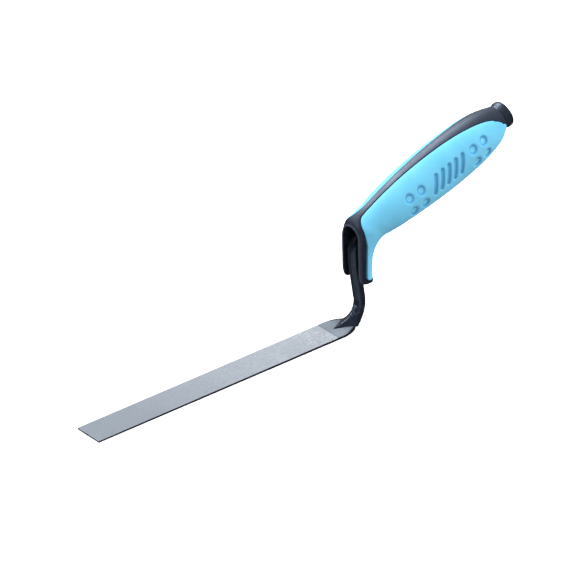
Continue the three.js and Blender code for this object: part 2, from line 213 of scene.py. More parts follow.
# Slanted slots between the dimples.
SLOT_COUNT = 5
SLOT_SPACING = 4.4
SLOT_HALF_LENGTH = 4.2
SLOT_SLANT = math.radians(62)
SLOT_PROFILE = [  # distance from a slot's middle line, height
    (0.0, -0.85), (0.5, -0.84), (0.8, -0.72), (1.1, -0.4), (1.35, -0.12), (1.6, 0.0),
]

SHARP_ANGLE = 38  # degrees; an edge that turns more stays sharp when a piece is smoothed
BLADE_SHARP_ANGLE = 30

# Studio
CAMERA_AZIMUTH = math.radians(-40)
CAMERA_ELEVATION = math.radians(30)
CAMERA_AIM = (-2.5, 29, 14.6)
CAMERA_DISTANCE = 2884
CAMERA_SENSOR = 36.0
CAMERA_LENS = 378
CAMERA_REACH = 50  # metres
WORLD_COLOUR = (0.95, 0.975, 1)
WORLD_FILL = 0.74  # the world's strength on matt surfaces
WORLD_BELOW = 0.16  # its strength in reflections of what is low
WORLD_ABOVE = 0.55  # and of what is high
WORLD_CLIMB = (-0.2, 0.5)  # sines of the elevations that the strength climbs between
TABLE_GLOW = 1.7  # a pale patch in reflections
TABLE_PLACE = (-0.56, -0.66, -0.5)  # unit direction of the patch, straight below the camera
TABLE_SPREAD = 7  # more makes the patch smaller
FLOOR_REACH = 4.0  # metres from the middle to each edge
FLOOR_GAP = 0.05  # below the blade
FLOOR_GLOW = 0.3

# Soft lights: azimuth and elevation in degrees; distance, width and height in metres; power in
# watts; and whether reflections show the light.
LIGHTS = {
    "key": (178, 49, 2.2, 1.5, 1.2, 58, True),
    "side": (70, 33, 1.0, 0.4, 0.4, 8.5, False),
    "rim": (-96, 42, 1.0, 0.3, 0.5, 5.0, True),
}

# Columns of the handle's surface points: place, normal, then the distance from the seam (below 0
# on the grip), the channel's mouth, the nearest dimple and slot, and the nose's bottom edge.
POSITION = slice(0, 3)
NORMAL = slice(3, 6)
SEAM, BEAD_AT, DIMPLE_AT, SLOT_AT, BOTTOM_AT = range(6, 11)
SNAP = 0.01  # a point this close to a line counts as on it
LEAST_SLOPE_SQUARED = 0.04  # keeps a field's distance finite where the field is flat

RECESS = "recess"  # how far, in millimetres, a point lies below the grip's plain surface

# Colours, as linear red, green and blue. A pair is the two ends of a cloudy mix.
# The ground face's two ends. The root's is lighter as a painted reflection.
TIP_STEEL = (0.185, 0.21, 0.24)
ROOT_STEEL_REFLECTION = (0.395, 0.425, 0.47)
GRIND_MARK = (0.17, 0.195, 0.23)
BRIGHT_SPECKLE = (0.55, 0.58, 0.63)
BRIGHT_FLECK = (0.62, 0.64, 0.67)
GROUND_LINE = (0.12, 0.15, 0.19)
HEEL_STEEL = ((0.20, 0.235, 0.27), (0.25, 0.285, 0.33))
HEEL_MARK = (0.13, 0.155, 0.19)
HEEL_BACK = (0.05, 0.06, 0.08)
# Painted shade along the heel's rounded rim.
HEEL_RIM_SHADE = (0.012, 0.015, 0.024)
# Painted shade on the blade's side faces.
SIDE_FACE_SHADE = ((0.002, 0.003, 0.010), (0.006, 0.008, 0.020))
SHANK_BLACK = ((0.004, 0.006, 0.012), (0.008, 0.010, 0.019))
# Painted shade on the shank where it rises into the channel.
SHANK_SHADE_IN_CHANNEL = (0.002, 0.002, 0.003)
CORE_BLACK = ((0.006, 0.008, 0.015), (0.011, 0.014, 0.024))
CORE_GRAIN = (0.04, 0.048, 0.065)
# Painted highlight on the bead round the channel's mouth.
BEAD_HIGHLIGHT = (0.045, 0.052, 0.075)
CAP_BLACK = ((0.002, 0.003, 0.006), (0.004, 0.005, 0.011))
GRIP_BLUE = ((0.13, 0.50, 0.73), (0.15, 0.54, 0.77))
GRIP_MOTTLE = (0.18, 0.65, 0.88)
# Painted shade on the walls of the grip's dimples and slots.
RECESS_WALL_SHADE = (0.03, 0.23, 0.52)
# Painted light on the dimples' floors.
RECESS_FLOOR_LIGHT = (0.2, 0.7, 0.95)
ADHESIVE = ((0.42, 0.34, 0.17), (0.56, 0.48, 0.28))
FLOOR_WHITE = ((0.90, 0.90, 0.905), (0.93, 0.93, 0.93))
BLACK_WEAR = (0.10, 0.11, 0.13)  # what shows on the worn edges of the shank and the cap
CORE_WEAR = (0.10, 0.11, 0.14)
GRIP_WEAR = (0.26, 0.68, 0.9)
BLUE_SHEEN = (0.6, 0.75, 1.0)  # the cool tint of the light on the black pieces


# ------------ curves and meshes

def spline(knots, shares, power=0.5):
    """Points of a Catmull-Rom curve through the knots, at shares of its way from 0 to 1.

    With a power of 0 the knots count as evenly spaced, and with more, by their distances.
    """
    knots = np.asarray(knots, float)
    padded = np.vstack([2 * knots[0] - knots[1], knots, 2 * knots[-1] - knots[-2]])
    place = np.clip(shares, 0, 1) * (len(knots) - 1)
    index = np.minimum(place.astype(int), len(knots) - 2)
    p0, p1, p2, p3 = (padded[index + step] for step in range(4))
    w = (place - index)[:, None]
    d0, d1, d2 = (
        np.linalg.norm(b - a, axis=1)[:, None] ** power
        for a, b in ((p0, p1), (p1, p2), (p2, p3))
    )
    t1 = ((p1 - p0) / d0 - (p2 - p0) / (d0 + d1)) * d1 + (p2 - p1)
    t2 = ((p3 - p2) / d2 - (p3 - p1) / (d1 + d2)) * d1 + (p2 - p1)
    return (
        (2 * w**3 - 3 * w**2 + 1) * p1 + (w**3 - 2 * w**2 + w) * t1
        + (3 * w**2 - 2 * w**3) * p2 + (w**3 - w**2) * t2
    )


def lofted(rings, closed=True):
    """Vertices and triangles of a body through rings of equal length, with fans on its ends."""
    count = len(rings[0])
    points = np.vstack(rings)
    first = np.arange(count)
    second = (first + 1) % count
    start = np.arange(len(rings) - 1)[:, None] * count
    at, after = start + first, start + second
    faces = [
        np.stack([at, after, after + count], -1).reshape(-1, 3),
        np.stack([at, after + count, at + count], -1).reshape(-1, 3),
    ]
    if closed:
        ends = np.vstack([rings[0].mean(0), rings[-1].mean(0)])
        low = np.full(count, len(points))
        last = len(points) - count
        faces.append(np.stack([second, first, low], -1))
        faces.append(np.stack([last + first, last + second, low + 1], -1))
        points = np.vstack([points, ends])
    return points, np.vstack(faces)


def volume(points, faces):
    a, b, c = (points[faces[:, corner], :3] for corner in range(3))
    return np.einsum("ij,ij->i", a, np.cross(b, c)).sum() / 6


def new_object(name, points, faces):
    """A mesh object from millimetres, with its faces turned outwards."""
    if volume(points, faces) < 0:
        faces = faces[:, ::-1]
    mesh = bpy.data.meshes.new(name)
    mesh.from_pydata((points[:, :3] * MM).tolist(), [], faces.tolist())
    mesh.validate()
    made = bpy.data.objects.new(name, mesh)
    bpy.context.scene.collection.objects.link(made)
    return made


def cut(target, *tools):
    """Takes the tools' space out of the target, then deletes the tools."""
    for tool in tools:
        modifier = target.modifiers.new("cut", "BOOLEAN")
        modifier.operation = "DIFFERENCE"
        modifier.solver = "MANIFOLD"
        modifier.object = tool
    graph = bpy.context.evaluated_depsgraph_get()
    mesh = bpy.data.meshes.new_from_object(target.evaluated_get(graph))
    target.modifiers.clear()
    old = target.data
    target.data = mesh
    bpy.data.meshes.remove(old)
    for tool in tools:
        bpy.data.objects.remove(tool)


def smooth(target, degrees=SHARP_ANGLE):
    target.data.shade_smooth()
    target.data.set_sharp_from_angle(angle=math.radians(degrees))


def profile_height(profile, distance):
    """Height of a (distance, height) profile at each distance."""
    reach, height = np.array(profile, float).T
    return np.interp(distance, reach, height)


def reaches(profile):
    """The distances at which a profile bends, apart from its start at 0."""
    return [reach for reach, _ in profile[1:]]


def roll(distance, width, drop):
    """Height of an edge that rolls over in a quarter ellipse as distance falls to 0."""
    left = np.clip(1 - distance / width, 0, 1)
    return -drop * (1 - np.sqrt(1 - left**2))


def fade(values, limits):
    """1 below the first limit, 0 above the second, smooth between them."""
    share = np.clip((values - limits[0]) / (limits[1] - limits[0]), 0, 1)
    return 1 - share * share * (3 - 2 * share)


def run_along(line):
    """How far along a line of points each of them is."""
    steps = np.linalg.norm(np.diff(line, axis=0), axis=1)
    return np.concatenate([[0], np.cumsum(steps)])


def full_turn(sides):
    """Evenly spaced angles, once round."""
    return np.linspace(0, 2 * math.pi, sides, endpoint=False)


def round_ring(x, z, pitch, radius, sides=SHANK_SIDES):
    """A circle about (x, 0, z), square to a line that climbs at pitch."""
    turn = full_turn(sides)
    up = radius * np.cos(turn)
    return np.stack([x - up * math.sin(pitch), -radius * np.sin(turn), z + up * math.cos(pitch)], 1)


def axis_rings(profile, centre, pitch, sides):
    """Circles round an axis that climbs at pitch, given as (radius, distance along it) pairs."""
    x, z = centre
    return [
        round_ring(x + along * math.cos(pitch), z + along * math.sin(pitch), pitch, radius, sides)
        for radius, along in profile
    ]


def turned_body(name, *turning):
    return new_object(name, *lofted(axis_rings(*turning)))


# ------------ cutting a surface along a line

def split(points, faces, column, level):
    """Cuts the triangles that the line column == level crosses, so that edges run along it.

    The line leaves a triangle whole, cuts one of its edges and goes through the corner opposite,
    or cuts two of its edges.
    """
    value = points[:, column] - level
    value[np.abs(value) < SNAP] = 0
    corners = np.sign(value)[faces]
    crossed = [corners[:, k] * corners[:, (k + 1) % 3] < 0 for k in range(3)]
    number = sum(c.astype(int) for c in crossed)
    one, two = number == 1, number == 2
    size = len(points)
    edges = np.vstack([faces[crossed[k]][:, [k, (k + 1) % 3]] for k in range(3)])
    if not len(edges):
        return points, faces
    edges = np.sort(edges, 1)
    keys, first = np.unique(edges[:, 0] * size + edges[:, 1], return_index=True)
    low, high = edges[first].T
    share = (value[low] / (value[low] - value[high]))[:, None]
    added = points[low] * (1 - share) + points[high] * share

    def between(a, b):
        """The added points on the edges from a to b."""
        key = np.minimum(a, b) * size + np.maximum(a, b)
        return size + np.searchsorted(keys, key)

    # Each cut triangle is turned until its first corner, a, is the one that its cut starts from:
    # the corner on the line, or the one between the two cut edges.
    turned = np.zeros(len(faces), int)
    for k in range(3):
        turned[one & (corners[:, k] == 0)] = k
        turned[two & crossed[(k + 2) % 3] & crossed[k]] = k
    order = (turned[:, None] + np.arange(3)) % 3
    a, b, c = np.take_along_axis(faces, order, 1).T
    middle = between(b[one], c[one])
    p, q = between(a[two], b[two]), between(a[two], c[two])
    parts = [
        faces[number == 0],
        np.stack([a[one], b[one], middle], 1),
        np.stack([a[one], middle, c[one]], 1),
        np.stack([a[two], p, q], 1),
        np.stack([p, b[two], c[two]], 1),
        np.stack([p, c[two], q], 1),
    ]
    return np.vstack([points, added]), np.vstack(parts)


def open_edges(faces):
    """Directed edges that only one triangle has."""
    edges = np.vstack([faces[:, [0, 1]], faces[:, [1, 2]], faces[:, [2, 0]]])
    size = int(faces.max()) + 1
    forward = edges[:, 0] * size + edges[:, 1]
    backward = edges[:, 1] * size + edges[:, 0]
    return edges[~np.isin(forward, backward)]


def walls(faces, step):
    """Triangles from the open edges of faces to the same vertices numbered step higher."""
    a, b = open_edges(faces).T
    return np.vstack([np.stack([b, a, a + step], 1), np.stack([b, a + step, b + step], 1)])


def split_at(points, faces, column, levels):
    for level in levels:
        points, faces = split(points, faces, column, level)
    return points, faces


def middle_of(points, faces, column):
    """A column's value in the middle of each triangle."""
    return points[faces][:, :, column].mean(1)


def offset(points, height):
    """Places that lie a height above the points, along their normals."""
    return points[:, POSITION] + points[:, NORMAL] * height[:, None]


def drop_unused(points, faces):
    """Leaves out the vertices that no triangle uses."""
    used, renumbered = np.unique(faces, return_inverse=True)
    return points[used], renumbered.reshape(faces.shape)


def close_loops(points, faces):
    """Closes each open loop with a fan about its middle."""
    follow = dict(open_edges(faces).tolist())
    centres, fans = [], []
    while follow:
        start, at = next(iter(follow.items()))
        loop = [start]
        del follow[start]
        while at != start:
            loop.append(at)
            at = follow.pop(at)
        centre = len(points) + len(centres)
        centres.append(points[loop].mean(0))
        fans += [(b, a, centre) for a, b in zip(loop, loop[1:] + loop[:1])]
    return np.vstack([points, centres]), np.vstack([faces, fans])


# ------------ the handle's surface

def end_section():
    """The handle's last section: an oval on the plane of the cap's front face."""
    x, z = CAP_CENTRE
    lean = END_HALF_HEIGHT * math.sin(CAP_PITCH)
    rise = END_HALF_HEIGHT * math.cos(CAP_PITCH)
    waist = 0.5
    return x - lean, z + rise, x + lean, z - rise, END_HALF_WIDTH, waist, OVAL


def quarter_outline(share, depth, half_width, square):
    """Evenly spaced (rise, side) points round a quarter of a section."""
    turn = np.linspace(0, math.pi / 2, QUARTER_SAMPLES)
    rise = np.cos(turn) ** (2 / square)
    rise[-1] = 0
    side = np.sin(turn) ** (2 / square)
    line = np.stack([rise * share * depth, side * half_width], 1)
    run = run_along(line)
    spots = np.linspace(0, 1, HANDLE_QUARTER + 1) * run[-1]
    return np.stack([np.interp(spots, run, line[:, k]) for k in (0, 1)], 1)


def handle_ring(top, belly, half_width, waist, square):
    """A ring from the top to the belly: as square as given above its waist, oval below."""
    depth = np.linalg.norm(belly - top)
    down = (belly - top) / depth
    centre = top + down * waist * depth
    upper = quarter_outline(waist, depth, half_width, square)
    lower = quarter_outline(1 - waist, depth, half_width, OVAL)[::-1] * (-1, 1)
    right = np.vstack([upper, lower[1:]])
    left = right[1:-1][::-1] * (1, -1)
    rise, side = np.vstack([right, left]).T
    return np.stack([RISER_X + centre[0] - down[0] * rise, -side, centre[1] - down[1] * rise], 1)


def handle_rings():
    """Evenly spaced rings from the nose's bottom to the butt."""
    sections = np.array(HANDLE_SECTIONS + [end_section()], float)
    tops, bellies, shapes = sections[:, 0:2], sections[:, 2:4], sections[:, 4:7]
    fine = np.linspace(0, 1, LINE_SAMPLES)
    run = run_along((spline(tops, fine) + spline(bellies, fine)) / 2)
    shares = np.interp(np.linspace(0, run[-1], HANDLE_RINGS), run, fine)
    rows = zip(spline(tops, shares), spline(bellies, shares), spline(shapes, shares, power=0))
    return np.array([handle_ring(top, belly, *shape) for top, belly, shape in rows])


def change_round(values):
    """How much values change from point to point round each ring."""
    return (np.roll(values, -1, axis=1) - np.roll(values, 1, axis=1)) / 2


def ring_normals(rings):
    normal = np.cross(change_round(rings), np.gradient(rings, axis=0))
    return normal / np.linalg.norm(normal, axis=2, keepdims=True)


def rotated(x, z, centre, pitch):
    """Side-view place of (x, z), seen along and across a line through centre at a pitch."""
    dx, dz = x - centre[0], z - centre[1]
    along = dx * math.cos(pitch) + dz * math.sin(pitch)
    across = dz * math.cos(pitch) - dx * math.sin(pitch)
    return along, across


def smooth_max(a, b, width):
    """The larger of two fields, rounded only where they are within width of each other."""
    overlap = np.maximum(width - np.abs(a - b), 0) / width
    return np.maximum(a, b) + overlap**2 * width / 4


def seam_field(x, y, z):
    """Positive where the hard core shows, negative where the grip covers it. x is from the riser."""
    stripe_x, stripe_half = np.array(STRIPE_EDGE, float).T
    stripe = np.interp(x, stripe_x, stripe_half) - np.abs(y)
    floor = z - (STRIPE_FLOOR[1] + (x - STRIPE_FLOOR[0]) * math.tan(CAP_PITCH))
    seam_x, seam_z = np.array(NOSE_SEAM, float).T
    nose = np.interp(z, seam_z, seam_x) - x
    lip = LIP_HEIGHT - z
    along, across = rotated(x, z, GRIP_END_CENTRE, CAP_PITCH)
    butt = np.minimum(along - GRIP_END_START, np.hypot(along, across) - GRIP_END_RADIUS)
    shown = smooth_max(np.minimum(stripe, floor), nose, SEAM_CORNER)
    shown = smooth_max(shown, butt, SEAM_CORNER)
    return smooth_max(shown, lip, LIP_CORNER)


def bead_field(x, y, z):
    """Distance outside the channel's mouth, on the front of the nose."""
    above = np.maximum(z - CHANNEL_SPRING, 0)
    beside = np.hypot(y, above) - CHANNEL_HALF_WIDTH
    return np.where(x < CHANNEL_BACK, beside, FAR)


def dimple_field(x, z):
    """Distance from the middle of the nearest dimple, seen from the side."""
    along, across = rotated(x, z, PATTERN_CENTRE, CAP_PITCH)
    return np.min([
        np.hypot(along - column, across - row)
        for column in DIMPLE_COLUMNS for row in DIMPLE_ROWS
    ], axis=0)


def slot_field(x, z):
    """Distance from the middle line of the nearest slot, seen from the side."""
    along, across = rotated(x, z, PATTERN_CENTRE, CAP_PITCH)
    forward, up = math.cos(SLOT_SLANT), math.sin(SLOT_SLANT)
    nearest = np.full(x.shape, FAR)
    for number in range(SLOT_COUNT):
        beside = along - (number - (SLOT_COUNT - 1) / 2) * SLOT_SPACING
        run = np.clip(beside * forward + across * up, -SLOT_HALF_LENGTH, SLOT_HALF_LENGTH)
        gap = np.hypot(beside - run * forward, across - run * up)
        nearest = np.minimum(nearest, gap)
    return nearest


def true_distance(rings, field):
    """Divides a field by its slope over the surface, so that it counts millimetres near 0."""
    along, around = np.gradient(rings, axis=0), change_round(rings)
    slope_u, slope_v = np.gradient(field, axis=0), change_round(field)
    e = (along**2).sum(2)
    f = (along * around).sum(2)
    g = (around**2).sum(2)
    squared = (g * slope_u**2 - 2 * f * slope_u * slope_v + e * slope_v**2) / (e * g - f * f)
    return field / np.sqrt(np.maximum(squared, LEAST_SLOPE_SQUARED))


def handle_surface():
    """The whole handle's skin as an open tube, with a normal and the fields at each point."""
    rings = handle_rings()
    x, y, z = rings[..., 0] - RISER_X, rings[..., 1], rings[..., 2]
    run = np.linalg.norm(np.diff(rings, axis=0), axis=2)
    bottom = np.vstack([np.zeros(rings.shape[1]), np.cumsum(run, axis=0)])
    columns = [
        true_distance(rings, seam_field(x, y, z)),
        bead_field(x, y, z),
        dimple_field(x, z),
        slot_field(x, z),
        bottom,
    ]
    grid = np.concatenate([rings, ring_normals(rings), np.stack(columns, 2)], axis=2)
    _, faces = lofted(list(rings), closed=False)
    points = grid.reshape(-1, grid.shape[2])
    return points, faces


# ------------ handle pieces

def grip_sleeve(points, faces):
    """The soft sleeve: rolled edges, dimples and slots outside, plain inside."""
    edge = -SEAM_GAP
    points, faces = split_at(points, faces, SEAM, [edge - SEAM_ROUND * share for share in ROLL_STEPS])
    points, faces = split_at(points, faces, DIMPLE_AT, reaches(DIMPLE_PROFILE))
    points, faces = split_at(points, faces, SLOT_AT, reaches(SLOT_PROFILE))
    faces = faces[middle_of(points, faces, SEAM) < edge]
    points, faces = drop_unused(points, faces)
    height = roll(edge - points[:, SEAM], SEAM_ROUND, SEAM_DROP)
    height = height + profile_height(DIMPLE_PROFILE, points[:, DIMPLE_AT])
    height = height + profile_height(SLOT_PROFILE, points[:, SLOT_AT])
    outer = offset(points, height)
    inner = offset(points, np.full(len(points), SEAM_GAP - GRIP_THICKNESS))
    body = np.vstack([faces, walls(faces, len(points)), faces[:, ::-1] + len(points)])
    made = new_object("grip_sleeve_skin", np.vstack([outer, inner]), body)
    recess = made.data.attributes.new(RECESS, "FLOAT", "POINT")
    recess.data.foreach_set("value", np.concatenate([-height, np.zeros(len(inner))]))
    smooth(made)
    return made


def channel_tool():
    """The arched channel that the riser stands in, open in front and below."""
    turn = np.linspace(0, math.pi, BORE_SIDES)
    side = np.concatenate([[CHANNEL_HALF_WIDTH], CHANNEL_HALF_WIDTH * np.cos(turn),
                           [-CHANNEL_HALF_WIDTH]])
    height = np.concatenate([[0], CHANNEL_SPRING + CHANNEL_HALF_WIDTH * np.sin(turn), [0]])
    rings = []
    for x in (CHANNEL_BACK, -FAR):
        rings.append(np.stack([np.full(len(side), RISER_X + x), side, height], 1))
    return new_object("channel_tool", *lofted(rings))


def crank_point(angle):
    """The crank's centre line, after it has turned by angle from upright."""
    x, z = RISER_LINE[-1]
    x = RISER_X + x + CRANK_RADIUS * (1 - math.cos(angle))
    return x, z + CRANK_RADIUS * math.sin(angle)


def cap_centre():
    return RISER_X + CAP_CENTRE[0], CAP_CENTRE[1]


def socket_tool():
    """The bore that the tang and its adhesive stand in."""
    profile = [(SOCKET_RADIUS, -CRANK_RADIUS / 2), (SOCKET_RADIUS, SOCKET_LENGTH)]
    return turned_body("socket_tool", profile, crank_point(CRANK_TURN), TANG_PITCH, BORE_SIDES)


def pocket_tool():
    """The pocket for the cap's spigot, and all the space behind the core's end face."""
    radius = SPIGOT_RADIUS + CAP_GAP
    profile = [
        (radius, -SPIGOT_LENGTH - CAP_GAP), (radius, -CAP_GAP), (FAR / 2, -CAP_GAP), (FAR / 2, FAR),
    ]
    return turned_body("pocket_tool", profile, cap_centre(), CAP_PITCH, BORE_SIDES)


def core_mesh(points, faces):
    """The core's closed skin: outside where it shows, and a step lower under the sleeve."""
    points = points.copy()
    near_nose = fade(points[:, 0] - RISER_X, GROOVE_FADE_X) * fade(points[:, 2], GROOVE_FADE_Z)
    points[:, SEAM] -= NOSE_GROOVE * near_nose
    points, faces = split_at(points, faces, SEAM, [SEAM_ROUND * share for share in ROLL_STEPS])
    points, faces = split_at(points, faces, BEAD_AT, reaches(BEAD_PROFILE))
    lip_rolls = [LIP_ROUND * share for share in ROLL_STEPS[1:]]
    points, faces = split_at(points, faces, BOTTOM_AT, lip_rolls)
    is_shown = middle_of(points, faces, SEAM) > 0
    height = roll(points[:, SEAM], SEAM_ROUND, SEAM_DROP)
    height = height + profile_height(BEAD_PROFILE, points[:, BEAD_AT])
    height = height + roll(points[:, BOTTOM_AT], LIP_ROUND, LIP_ROUND)
    upper = offset(points, height)
    lower = offset(points, np.full(len(points), -GRIP_THICKNESS))
    covered = faces[~is_shown]
    step = walls(covered, len(points))[:, ::-1]
    body = np.vstack([faces[is_shown], covered + len(points), step])
    return close_loops(*drop_unused(np.vstack([upper, lower]), body))


def handle_core(points, faces):
    """The hard core: it shows in the stripe, nose and butt, and lies lower under the sleeve."""
    made = new_object("handle_core_body", *core_mesh(points, faces))
    cut(made, channel_tool(), socket_tool(), pocket_tool())
    smooth(made)
    return made


def butt_cap():
    """A flared cap with a rolled rim, a shallow dish in its end and a spigot in the core."""
    made = turned_body("butt_cap_body", CAP_PROFILE, cap_centre(), CAP_PITCH, CAP_SIDES)
    smooth(made)
    return made


# ------------ blade and shank

def plan_half_width(x):
    """Half the blade's width: full up to the heel, which is rounded down to a narrow neck."""
    along = max(0.0, x - HEEL_STRAIGHT) / HEEL_ROUND
    return max(HEEL_NECK, BLADE_WIDTH / 2 * math.sqrt(max(0.0, 1 - along * along)))


def underside_height(x):
    """Height of the blade's underside, which follows the foot's bend at its very end."""
    past = max(0.0, x - (RISER_X + FOOT_BACK - FOOT_BEND_RADIUS))
    return FOOT_BEND_RADIUS - math.sqrt(FOOT_BEND_RADIUS**2 - past * past)


def blade_top_height(x):
    ground = BLADE_THICKNESS + x / BLADE_LENGTH * (BLADE_THICKNESS - TIP_THICKNESS)
    if x < 0:
        return ground - GRIND_STEP * min(1.0, -x / GRIND_RAMP)
    return BLADE_THICKNESS + min(1.0, x / HEEL_RAMP) * (HEEL_THICKNESS - BLADE_THICKNESS)


def blade_ring(x, inset=0.0, grow=0.0):
    """A section of the blade across its width, with rolled long edges."""
    half = plan_half_width(x) - inset + grow
    top = blade_top_height(x) - inset + grow
    bottom = underside_height(x) + inset - grow
    turn = np.linspace(0, math.pi / 2, EDGE_POINTS)
    inward = EDGE_ROUND * (1 - np.sin(turn))
    upward = EDGE_ROUND * (1 - np.cos(turn))
    inside = [half - EDGE_ROUND - EDGE_SUPPORT]
    side = np.concatenate([inside, half - inward, half - upward, inside])
    height = np.concatenate([[bottom], bottom + upward, top - inward, [top]])
    side = np.concatenate([side, -side[::-1]])
    height = np.concatenate([height, height[::-1]])
    return np.stack([np.full(side.shape, x), side, height], 1)


def blade_stations():
    """Where the blade has a section, behind its rolled tip."""
    tip = -BLADE_LENGTH + EDGE_ROUND
    ground = np.linspace(tip + EDGE_SUPPORT, -GRIND_RAMP, GROUND_STATIONS)
    step = np.linspace(-GRIND_RAMP, 0, STEP_STATIONS)[1:]
    heel = np.linspace(0, HEEL_END, HEEL_STATIONS)[1:]
    return np.concatenate([[tip], ground, step, heel])


def blade_mesh(grow=0.0):
    """The blade's body, larger by grow on every side but its rear."""
    rings = []
    for turn in np.linspace(math.pi / 2, 0, EDGE_POINTS)[:-1]:
        x = -BLADE_LENGTH + EDGE_ROUND * (1 - math.sin(turn)) - grow
        rings.append(blade_ring(x, EDGE_ROUND * (1 - math.cos(turn)), grow))
    rings += [blade_ring(x, 0.0, grow) for x in blade_stations()]
    return lofted(rings)


def blade():
    made = new_object("blade_plate", *blade_mesh())
    smooth(made, BLADE_SHARP_ANGLE)
    return made


def foot_rings():
    """Level ovals from the pointed toe on the heel up to the round riser."""
    turn = full_turn(SHANK_SIDES)
    forward, side = np.cos(turn), np.sin(turn)
    sections = spline(FOOT_SECTIONS, np.linspace(0, 1, FOOT_RINGS), power=0.25)
    rings = []
    for height, centre, front, rear, half_width, sharp in sections:
        sharp = min(1.0, max(0.0, sharp))
        bow = forward + (1 - np.abs(side) - forward) * sharp
        reach = np.where(forward > 0, (front - centre) * bow, (centre - rear) * forward)
        rings.append(np.stack([
            RISER_X + centre + reach, -half_width * side, np.full(SHANK_SIDES, height)], 1))
    return rings


def riser_rings():
    """Circles up the riser, but for the last, which is the crank's first."""
    line = np.array(RISER_LINE, float) + (RISER_X, 0)
    places = spline(line, np.linspace(0, 1, RISER_RINGS))
    heading = np.gradient(places, axis=0)
    return [
        round_ring(x, z, math.atan2(dz, dx), SHANK_RADIUS)
        for (x, z), (dx, dz) in zip(places, heading)
    ][:-1]


def crank_rings():
    rings = []
    for angle in np.linspace(0, CRANK_TURN, CRANK_RINGS):
        x, z = crank_point(angle)
        rings.append(round_ring(x, z, math.pi / 2 - angle, SHANK_RADIUS))
    return rings


def tang_rings():
    """Circles along the straight tang and its rounded tip."""
    body = TANG_LENGTH - TANG_TIP_LENGTH
    profile = [(SHANK_RADIUS, along) for along in np.linspace(0, body, TANG_RINGS)[1:]]
    for share in np.linspace(0, 1, TANG_TIP_RINGS)[1:]:
        radius = SHANK_RADIUS * math.sqrt(1 - TANG_TIP_TAPER * share * share)
        profile.append((radius, body + share * TANG_TIP_LENGTH))
    return axis_rings(profile, crank_point(CRANK_TURN), TANG_PITCH, SHANK_SIDES)


def wrinkled(rings):
    """Presses the wrinkles into the front of the foot's bend."""
    turn = full_turn(SHANK_SIDES)
    facing = np.clip(np.cos(turn), 0, 1) ** WRINKLE_SPREAD
    sway = WRINKLE_SWAY * np.sin(turn * 2)
    for ring in rings:
        for height, depth, width in WRINKLES:
            near = np.exp(-(((ring[:, 2] + sway - height) / width) ** 2))
            ring[:, 0] += depth * near * facing
    return rings


def shank():
    """Foot, riser, crank and tang in one, with room for the blade's heel under the foot."""
    rings = wrinkled(foot_rings() + riser_rings()) + crank_rings() + tang_rings()
    made = new_object("shank_rod", *lofted(rings))
    cut(made, new_object("lap_tool", *blade_mesh(LAP_GAP)))
    smooth(made)
    return made


# ------------ node building blocks

class Nodes:
    """Short calls for the nodes of a material or a world."""

    def __init__(self, tree, coordinates):
        self.tree = tree
        self.place = tree.nodes.new("ShaderNodeTexCoord").outputs[coordinates]

    def link(self, value, socket):
        if isinstance(value, bpy.types.NodeSocket):
            self.tree.links.new(value, socket)
        elif isinstance(value, tuple) and len(value) == 3 and socket.type == "RGBA":
            socket.default_value = (*value, 1)
        else:
            socket.default_value = value

    def math(self, operation, a, b=0.0):
        made = self.tree.nodes.new("ShaderNodeMath")
        made.operation = operation
        self.link(a, made.inputs[0])
        self.link(b, made.inputs[1])
        return made.outputs[0]

    def times(self, a, b):
        return self.math("MULTIPLY", a, b)

    def ramp(self, value, low, high, to_low=0.0, to_high=1.0):
        """value carried from low..high to to_low..to_high, smoothly and without overshoot."""
        made = self.tree.nodes.new("ShaderNodeMapRange")
        made.interpolation_type = "SMOOTHSTEP"
        for socket, amount in zip(made.inputs, (value, low, high, to_low, to_high)):
            self.link(amount, socket)
        return made.outputs[0]

    def zone(self, value, low, high, *to):
        """A ramp over a length, with low and high in millimetres."""
        return self.ramp(value, low * MM, high * MM, *to)

    def mix(self, share, a, b):
        """A colour between the colours a and b."""
        made = self.tree.nodes.new("ShaderNodeMix")
        made.data_type = "RGBA"
        self.link(share, made.inputs[0])
        self.link(a, made.inputs[6])
        self.link(b, made.inputs[7])
        return made.outputs[2]

    def blend(self, share, a, b):
        """A number between the numbers a and b."""
        made = self.tree.nodes.new("ShaderNodeMix")
        self.link(share, made.inputs[0])
        self.link(a, made.inputs[2])
        self.link(b, made.inputs[3])
        return made.outputs[0]

    def axis(self, name):
        made = self.tree.nodes.new("ShaderNodeSeparateXYZ")
        self.link(self.place, made.inputs[0])
        return made.outputs[name]

    def towards(self, direction):
        """The place's part along a direction."""
        made = self.tree.nodes.new("ShaderNodeVectorMath")
        made.operation = "DOT_PRODUCT"
        self.link(self.place, made.inputs[0])
        self.link(direction, made.inputs[1])
        return made.outputs["Value"]


